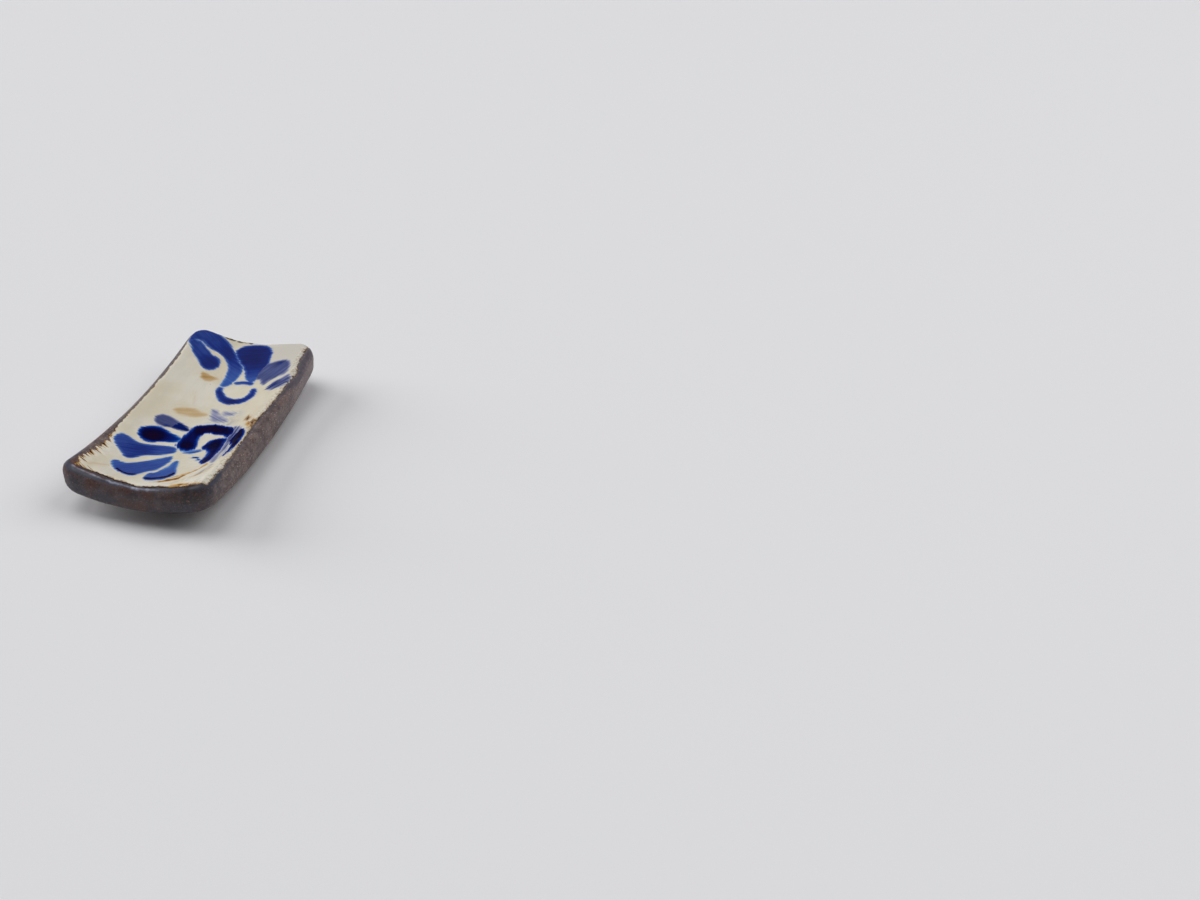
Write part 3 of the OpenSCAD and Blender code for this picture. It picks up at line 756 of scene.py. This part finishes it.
def ground_group():
    """Colour and surface of the white glaze, which the brushed films fade into."""
    t, into, out = new_group("white_glaze_ground", [("Warmth", "Float", 0.5)],
                             [("Color", "Color"), ("Height", "Float")])
    coords = t.coords()
    slow = t.span(t.noise(coords, 130, 3, 0.55), 0.35, 0.68)
    streak = t.span(t.noise(coords, 700, 2, 0.5, (0.25, 1, 1)), 0.4, 0.75)
    at = t.axes(coords)
    # Painted shade: the tilted far right corner of the glaze made greyer
    far_right_shade = t.times(t.span(at["X"], 0.01, 0.024, 0, 0.85), t.span(at["Y"], 0.002, -0.007))
    pins = t.add("TexVoronoi", Vector=coords, Scale=520).outputs
    pick = t.add("SeparateColor", Color=pins["Color"]).outputs
    pit = t.times(t.span(pins["Distance"], 0.075, 0.03), t.math("GREATER_THAN", pick[2], 0.8))
    ripple, fine = t.noise(coords, 420, 2, 0.45), t.noise(coords, 1500, 2, 0.5)
    t.set(out, "Color", t.over(
        GLAZE_PALE, (t.times(slow, into["Warmth"]), GLAZE_WARM), (t.times(streak, 0.22), GLAZE_GREY),
        (far_right_shade, GLAZE_FAR_SHADE), (t.times(pit, 0.55), GLAZE_PIT)))
    t.set(out, "Height", t.minus(t.math("ADD", ripple, t.times(fine, 0.12)), t.times(pit, 0.5)))
    return t.tree


def new_material(name):
    material = bpy.data.materials.new(name)
    material.use_nodes = True
    tree = Tree(material.node_tree)
    tree.nodes.clear()
    shader = tree.nodes.new("ShaderNodeBsdfPrincipled")
    out = tree.nodes.new("ShaderNodeOutputMaterial")
    tree.tree.links.new(shader.outputs[0], out.inputs[0])
    return material, tree, shader


def bump_in(t, shader, height, strength, distance):
    node = t.add("Bump", Strength=strength, Distance=distance, Height=height)
    t.tree.links.new(node.outputs[0], shader.inputs["Normal"])


# Colours of the clay, of which the near-end colour multiplies what is below it, and the stretch of x where it
# pales. The near-end darkening is partly the clay's own darker tone, partly painted shade on the end face
CLAY_DEEP, CLAY_PALE, NEAR_END_SHADE = srgb(94, 81, 83), srgb(126, 112, 109), (0.5, 0.46, 0.51, 1)
CLAY_FAR, CLAY_LEFT_SHEEN, TOAST = srgb(142, 129, 133), srgb(156, 144, 134), srgb(122, 86, 72)
COOL, DARK_GRAIN, LIGHT_GRAIN = srgb(54, 56, 70), srgb(46, 38, 40), srgb(176, 158, 148)
SAND, SHADE, CREST_TONE_AND_SHEEN, BESIDE = srgb(166, 146, 138), srgb(52, 42, 46), srgb(70, 74, 88), srgb(68, 72, 88)
# LIP is the colour of a painted highlight along the near end's lip
SOOT, RUST, LIP = srgb(40, 34, 37), srgb(120, 82, 68), srgb(186, 190, 210)
FAR_HALF = (0.004, 0.02)


def clay_material(grit):
    material, t, shader = new_material("bare_clay")
    marks = use_group(t, grit, Grain=2500, Amount=0.62)
    coords = t.coords()
    at = t.axes(coords)
    along = at["X"]
    blotch = t.span(t.noise(coords, 360, 5, 0.72), 0.4, 0.62)
    toast = t.span(t.noise(coords, 230, 4, 0.65, (1, 1, 1.7)), 0.48, 0.62)
    toast = t.times(toast, t.span(along, -0.018, -0.025, 0.3, 0.75))
    colour = t.over(CLAY_DEEP, (blotch, CLAY_PALE), (toast, TOAST))
    # Near end darkened: partly the clay's own tone, partly painted shade on the end face
    colour = t.mix(t.span(along, -0.018, -0.027, 0, 0.9), colour, NEAR_END_SHADE, "MULTIPLY")
    cool = t.times(t.span(t.noise(coords, 170, 3, 0.6), 0.46, 0.62), t.span(along, -0.018, -0.024))
    # Painted sheen: the left rim made lighter and greyer, from a little before the middle to the far end
    left = t.times(t.span(at["Y"], 0.0098, 0.0122, 0, 0.5), t.span(along, -0.012, 0))
    dark = t.times(marks["Dark"], t.span(along, *FAR_HALF, 0.7, 0.35))
    light = t.times(marks["Light"], t.span(along, -0.027, -0.015, 0.2, 0.85))
    bright = t.times(t.span(marks["Sand"], 0.5, 0.72), t.span(along, -0.026, -0.02, 0.12, 0.55))
    shade = t.times(t.span(marks["Sand"], 0.5, 0.3, 0, 0.5), t.span(along, *FAR_HALF, 1, 0.5))
    patch = t.noise(coords, 420, 3, 0.6)
    # Bluish band along the rim's crest, strongest at the near end: partly the clay's own iron-dark tone,
    # partly painted sheen
    band = t.span(t.math("ADD", t.mark("crest"), t.times(t.minus(patch, 0.5), 0.9)), 0.3, 0.75)
    scorch = t.mark("scorch")
    burnt = t.math("MULTIPLY", scorch, t.span(patch, 0.35, 0.6, 0.5, 1), clamp=True)
    rusty = t.times(scorch, t.span(t.noise(coords, 1700, 2, 0.6), 0.56, 0.68, 0, 0.8))
    # Painted highlight: pale bluish-white, broken up, along the raised lip of the near end
    lip_highlight = t.times(t.mark("lip"), t.span(patch, 0.38, 0.58, 0.2, 1))
    lip_highlight = t.times(lip_highlight, t.span(t.noise(coords, 1600, 3, 0.65), 0.36, 0.6, 0.45, 1))
    colour = t.over(
        colour, (t.times(cool, 0.75), COOL), (t.span(along, *FAR_HALF, 0, 0.62), CLAY_FAR),
        (left, CLAY_LEFT_SHEEN), (dark, DARK_GRAIN), (light, LIGHT_GRAIN), (bright, SAND), (shade, SHADE),
        (t.times(band, 0.85), CREST_TONE_AND_SHEEN), (t.times(t.mark("beside"), 0.65), BESIDE), (burnt, SOOT),
        (rusty, RUST), (lip_highlight, LIP))
    t.set(shader, "Base Color", colour)
    t.set(shader, "Roughness", t.minus(0.58, t.times(band, 0.2)))
    bump_in(t, shader, marks["Height"], 0.5, 0.00006)
    return material


def shades(*stops):
    """Stops of a colour ramp, from the place and the colour of each."""
    return [(at, srgb(*rgb)) for at, *rgb in stops]


def grain_material():
    material, t, shader = new_material("clay_grain")
    tone = t.noise(t.coords(), 3100, 1, 0.5)
    stops = shades((0.3, 76, 64, 66), (0.5, 104, 91, 90), (0.72, 150, 132, 124))
    t.set(shader, "Base Color", t.ramp(tone, stops))
    t.set(shader, "Roughness", t.span(tone, 0.3, 0.7, 0.7, 0.45))
    return material


def finish_glossy(t, shader, colour, height):
    """The clear glassy surface that the glaze and the brushwork share."""
    t.set(shader, "Base Color", colour)
    t.set(shader, "Roughness", 0.1)
    t.set(shader, "IOR", 1.5)
    bump_in(t, shader, height, 0.35, 0.00008)


# Colours of the glaze: thin fringe and clay showing through, brushed-bare lines, faint touches, and painted
# shade and painted glints on the brush ridges by the right border
FRINGE, UNDER = srgb(184, 146, 90), srgb(58, 42, 36)
BARED, BARE = srgb(196, 150, 84), srgb(74, 44, 30)
AMBER, BROWN, BLUE, DARK = srgb(204, 157, 76), srgb(116, 74, 44), srgb(110, 122, 160), srgb(52, 40, 32)
RIDGE_SHADE, RIDGE_GLINT = srgb(186, 166, 140), srgb(240, 236, 230)


def glaze_material(ground):
    material, t, shader = new_material("white_glaze")
    base = use_group(t, ground, Warmth=0.5)
    coords = t.coords()
    inside, comb, brown = t.mark("inside"), t.mark("comb"), t.mark("brown")
    wobble = t.times(t.minus(t.noise(coords, 900, 3, 0.6), 0.5), 0.5)
    reach = t.span(t.noise(coords, 300, 2, 0.5), 0.4, 0.65, 0.24, 0.5)
    share = t.math("DIVIDE", t.math("ADD", inside, wobble), reach)
    fringe = t.math("SUBTRACT", 1, share, clamp=True)
    slanted = t.add("Mapping", Vector=coords, Rotation=(0, 0, math.radians(-60))).outputs[0]
    hairs = t.noise(slanted, 1000, 2, 0.6, (0.22, 3.2, 0.22))
    bared = t.minus(hairs, t.times(t.math("MAXIMUM", inside, 0), 0.13))
    bared = t.minus(bared, t.times(t.minus(1, comb), 0.4))
    # Painted light: darker and white flecks on the brush ridges by the right border stand in for their shade
    # and glints
    ridge_light_and_shade = t.times(t.span(inside, 1.4, 0.5, 0, 0.75), t.span(t.axes(coords)["Y"], -0.0085, -0.0105))
    flecks = t.noise(coords, 2300, 3, 0.7)
    colour = t.over(
        base["Color"], (t.span(fringe, 0, 0.8), FRINGE), (t.span(fringe, 0.45, 0.8), UNDER),
        (t.span(bared, 0.41, 0.5), BARED), (t.span(bared, 0.47, 0.58), BARE),
        (t.span(brown, 0, 0.55), AMBER), (t.span(brown, 0.5, 1), BROWN), (t.mark("blue"), BLUE),
        (t.times(ridge_light_and_shade, t.span(flecks, 0.5, 0.6)), RIDGE_SHADE),
        (t.times(ridge_light_and_shade, t.span(flecks, 0.46, 0.38)), RIDGE_GLINT), (t.mark("dark"), DARK))
    finish_glossy(t, shader, colour, base["Height"])
    return material


def ink_material(name, ground, stops, feather=0.12, deepen=0.6):
    """Pigment under the clear glaze: a fine soft edge, bright where the pigment thins towards it."""
    material, t, shader = new_material(name)
    base = use_group(t, ground, Warmth=0.5)
    wobble = t.times(t.minus(t.noise(t.coords(), 2600, 2, 0.6), 0.5), 0.14)
    inside = t.math("ADD", t.mark("ink"), wobble)
    tone = t.times(t.mark("load"), t.span(inside, -0.15, deepen, 0.3, 1))
    colour = t.mix(t.span(inside, -BLEED * 0.9, feather), base["Color"], t.ramp(tone, stops))
    finish_glossy(t, shader, colour, base["Height"])
    return material


# Colours of the pigment against its load
COBALT_MID = shades(
    (0, 196, 204, 206), (0.16, 88, 138, 206), (0.3, 66, 100, 176), (0.46, 56, 80, 156),
    (0.6, 36, 55, 134), (0.78, 36, 42, 98), (1, 26, 10, 50))
COBALT_DEEP = shades(
    (0, 190, 202, 208), (0.16, 72, 128, 200), (0.3, 14, 70, 164), (0.46, 6, 36, 122),
    (0.64, 8, 18, 90), (0.8, 8, 6, 50), (1, 24, 6, 38))
COBALT_PALE = shades(
    (0, 208, 206, 200), (0.16, 166, 168, 190), (0.3, 124, 130, 166), (0.46, 82, 92, 142),
    (0.6, 70, 76, 120), (0.7, 22, 50, 128), (0.85, 6, 32, 106), (1, 8, 16, 72))
IRON = shades(
    (0, 226, 216, 192), (0.25, 206, 180, 140), (0.5, 192, 156, 104), (0.8, 112, 82, 68), (1, 64, 46, 60))


grit_marks, glaze_ground = grit_group(), ground_group()
finishes = {
    "bare_clay": clay_material(grit_marks),
    "clay_grain": grain_material(),
    "white_glaze": glaze_material(glaze_ground),
    "cobalt_deep": ink_material("cobalt_deep", glaze_ground, COBALT_DEEP, 0.12, 0.95),
    "cobalt_mid": ink_material("cobalt_mid", glaze_ground, COBALT_MID),
    "cobalt_pale": ink_material("cobalt_pale", glaze_ground, COBALT_PALE),
    "iron_brown": ink_material("iron_brown", glaze_ground, IRON, 0.6, 0.9),
}


# The pieces

# Faint touches in the glaze: from (x, y) to (x, y), half width and strength. Brown gathered along the
# edge of the second coat
COAT_BROWN = [(0.2, 0.7), (0.36, 2), (0.4, 2.4), (0.32, 1.7), (0.24, 0.7)]
BROWN_TOUCHES = [a + b + mark for a, b, mark in zip(COAT_EDGE, COAT_EDGE[1:], COAT_BROWN)] + [
    (-18.2, -8.3, -15.1, -9.2, 0.3, 0.55), (-22.5, -4.6, -21, -6.1, 0.18, 0.7),
    (-21, -6.1, -19.3, -7.5, 0.18, 0.55), (-24.4, -6.4, -19, -10.6, 0.24, 0.3),
    (-22, -9, -16, -11.1, 0.24, 0.3), (-25.1, -6.9, -24.7, -8.6, 0.34, 0.8),
    (-24.7, -8.6, -24.6, -11.6, 0.36, 0.9), (-1.6, -10.8, 0.8, -10.1, 0.75, 0.85),
    (-0.2, -9.6, 0.7, -10.4, 0.5, 0.4), (-21.5, 6.5, -22.5, 9.5, 0.6, 0.22), (5.2, 3.6, 8, 4.4, 1.2, 0.12)]
BLUE_TOUCHES = [
    (-20.6, -9.4, -16, -10.2, 0.28, 0.6), (-2.2, -5.2, 0.4, -6.2, 1.1, 0.3),
    (1.2, -3.2, 3.4, -6.2, 1, 0.3), (-0.6, -2.5, 0.6, -5.5, 0.9, 0.2)]
DARK_TOUCHES = [
    (25, 8, 25.3, 4.5, 0.22, 1.5), (25.3, 4.5, 25.4, 0.6, 0.3, 1.7), (-1.6, -11.3, 2, -11, 0.2, 1.3),
    (-1.2, -11.3, -0.8, -10.6, 0.13, 0.9), (-0.1, -11.3, 0.1, -10.4, 0.13, 0.9),
    (0.9, -11.2, 1, -10.2, 0.14, 0.9)]


def touches(strokes, seed, grain=0.0):
    """A mark that adds up the faint touches, with the hair marks of the brush."""
    def amount(x, y):
        total = 0 * x
        for ax, ay, bx, by, width, weight in strokes:
            t, d, left = from_segment(x, y, (ax, ay), (bx, by))
            length = math.hypot(bx - ax, by - ay)
            patchy = 0.8 + 0.6 * noise(left / length / 0.22, t * length / 1.6, seed=seed)
            patchy = patchy + grain * noise(x / 0.5, y / 0.5, seed=seed + 9)
            total = total + weight * bell(d, width) * np.maximum(patchy, 0)
        return np.clip(total, 0, 1)
    return amount


clay = clay_piece()
glaze_marks = {"inside": glaze_inset, "comb": combed, "brown": touches(BROWN_TOUCHES, 51),
               "blue": touches(BLUE_TOUCHES, 52), "dark": touches(DARK_TOUCHES, 53, 1.2)}
film_piece(
    "glaze_coat", (-27, 27, -14.2, 14.2), GLAZE_CELL, glaze_inset,
    glaze_top, lambda x, y: clay_top(x, y) - GLAZE_DEPTH, glaze_marks, "white_glaze", "white_glaze")
for order, name in enumerate(STROKES):
    paint(name, order)


# Grains of grit standing out of the clay walls

# The named inputs of the scatter, and the least and greatest size of a grain as shares of its radius
GRIT = [("Grains per square metre", "Float", 3.2e6), ("Grain radius", "Float", GRAIN_R * MM),
        ("Seed", "Int", 7)]
GRAIN_LEAST, GRAIN_MOST = (0.35, 0.35, 0.3), (1.2, 0.9, 0.6)


def grit_tree():
    """Geometry nodes: scatter low grains over the walls, more where the wall mark is high."""
    t, into, out = new_group("clay_grit_scatter", [("Geometry", "Geometry", None)] + GRIT,
                             [("Geometry", "Geometry")], "GeometryNodeTree")
    wall = t.add("GeometryNodeInputNamedAttribute", {"data_type": "FLOAT"}, Name="wall").outputs["Attribute"]
    density, seed = t.times(wall, into["Grains per square metre"]), into["Seed"]
    scatter = t.add("GeometryNodeDistributePointsOnFaces", {"distribute_method": "RANDOM"},
                    Mesh=into["Geometry"], Density=density, Seed=seed).outputs
    grain = t.add("GeometryNodeMeshIcoSphere", Radius=into["Grain radius"], Subdivisions=1)
    size = t.add("FunctionNodeRandomValue", {"data_type": "FLOAT_VECTOR"},
                 Min=GRAIN_LEAST, Max=GRAIN_MOST, Seed=seed)
    place = t.add("GeometryNodeInstanceOnPoints", Points=scatter["Points"], Instance=grain.outputs["Mesh"],
                  Rotation=scatter["Rotation"], Scale=size.outputs["Value"])
    solid = t.add("GeometryNodeRealizeInstances", Geometry=place.outputs["Instances"])
    finish = t.add("GeometryNodeSetMaterial", Geometry=solid.outputs["Geometry"],
                   Material=finishes["clay_grain"])
    t.set(out, "Geometry", finish.outputs["Geometry"])
    return t.tree


def grit_piece(ground):
    """The grains as one plain mesh."""
    mesh = ground.data.copy()
    worker = new_object("clay_grit_work", mesh)
    modifier = worker.modifiers.new("grit", "NODES")
    modifier.node_group = grit_tree()
    values = {label: value for label, _, value in GRIT}
    for item in modifier.node_group.interface.items_tree:
        if item.in_out == "INPUT" and item.name in values:
            modifier[item.identifier] = values[item.name]
    bpy.context.view_layer.update()
    made = bpy.data.meshes.new_from_object(worker.evaluated_get(bpy.context.evaluated_depsgraph_get()))
    worker.modifiers.remove(modifier)
    bpy.data.objects.remove(worker)
    bpy.data.meshes.remove(mesh)
    made.name = "clay_grit"
    piece = new_object("clay_grit", made)
    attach(piece, "root")


grit_piece(clay)


# Floor, light and camera

# The floor's half width in metres
FLOOR_HALF = 2
# Each lamp: direction and height in degrees, distance and width in metres, the share of plain white
# that it gives the floor, and whether the glaze mirrors it
LAMPS = {
    "softbox": (75, 73, 2.6, 1.9, 0.265, True),
    "fill": (-72, 48, 1.3, 1.3, 0.3, False),
    "side": (84, 24, 2.6, 2.0, 0.28, False),
}
SKY_LOW, SKY_SIDE, SKY_TOP = (0.42, 0.42, 0.43, 1), (0.06, 0.06, 0.064, 1), (0.3, 0.3, 0.31, 1)
# The camera that fits the photograph: yaw, pitch and roll in degrees, place and lens in millimetres
CAMERA_TURN = (15.5285, 32.6578, 0.1677)
CAMERA_PLACE = (-288.367, -154.792, 203.599)
SENSOR, LENS = 36, 63


def make_floor():
    mesh = bpy.data.meshes.new("floor")
    h = FLOOR_HALF
    mesh.from_pydata([(-h, -h, 0), (h, -h, 0), (h, h, 0), (-h, h, 0)], [], [(0, 1, 2, 3)])
    floor = new_object("floor", mesh)
    material, t, shader = new_material("floor_paper")
    t.set(shader, "Base Color", srgb(238, 238, 240))
    t.set(shader, "Roughness", 0.9)
    mesh.materials.append(material)


def make_lamp(name, azimuth, height, far, size, level, mirrored):
    """A round soft lamp aimed at the rest."""
    a, e = math.radians(azimuth), math.radians(height)
    back = Vector((math.cos(a) * math.cos(e), math.sin(a) * math.cos(e), math.sin(e)))
    data = bpy.data.lights.new(name, "AREA")
    data.shape, data.size = "DISK", size
    data.energy = level * math.pi ** 2 * far ** 2 / math.sin(e)
    lamp = new_object(name, data)
    lamp.location = back * far
    lamp.rotation_mode = "QUATERNION"
    lamp.rotation_quaternion = back.to_track_quat("Z", "Y")
    lamp.visible_glossy = mirrored


def make_sky():
    """Soft light from all round, little of it mirrored, so that the dark brushwork stays dark."""
    world = bpy.data.worlds.new("studio")
    bpy.context.scene.world = world
    world.use_nodes = True
    t = Tree(world.node_tree)
    height = t.axes(t.add("TexCoord").outputs["Generated"])["Z"]
    colour = t.ramp(height, [(0, SKY_LOW), (0.3, SKY_SIDE), (0.8, SKY_SIDE), (1, SKY_TOP)])
    mirrored = t.times(t.add("LightPath").outputs["Is Glossy Ray"], 0.75)
    colour = t.mix(mirrored, colour, (0, 0, 0, 1))
    t.tree.links.new(colour, world.node_tree.nodes["Background"].inputs["Color"])


def make_camera():
    yaw, pitch, roll = (math.radians(a) for a in CAMERA_TURN)
    ahead = np.array([math.cos(yaw) * math.cos(pitch), math.sin(yaw) * math.cos(pitch), -math.sin(pitch)])
    right = np.array([math.sin(yaw), -math.cos(yaw), 0])
    up = np.cross(right, ahead)
    side = right * math.cos(roll) + up * math.sin(roll)
    top = -right * math.sin(roll) + up * math.cos(roll)
    data = bpy.data.cameras.new("camera")
    data.sensor_width, data.lens, data.clip_start, data.clip_end = SENSOR, LENS, 0.01, 20
    camera = new_object("camera", data)
    turn = np.eye(4)
    turn[:3, 0], turn[:3, 1], turn[:3, 2] = side, top, -ahead
    turn[:3, 3] = np.array(CAMERA_PLACE) * MM
    camera.matrix_world = Matrix(turn.tolist())
    bpy.context.scene.camera = camera


make_floor()
for name, setting in LAMPS.items():
    make_lamp(name, *setting)
make_sky()
make_camera()
bpy.context.scene.view_settings.view_transform = "Standard"
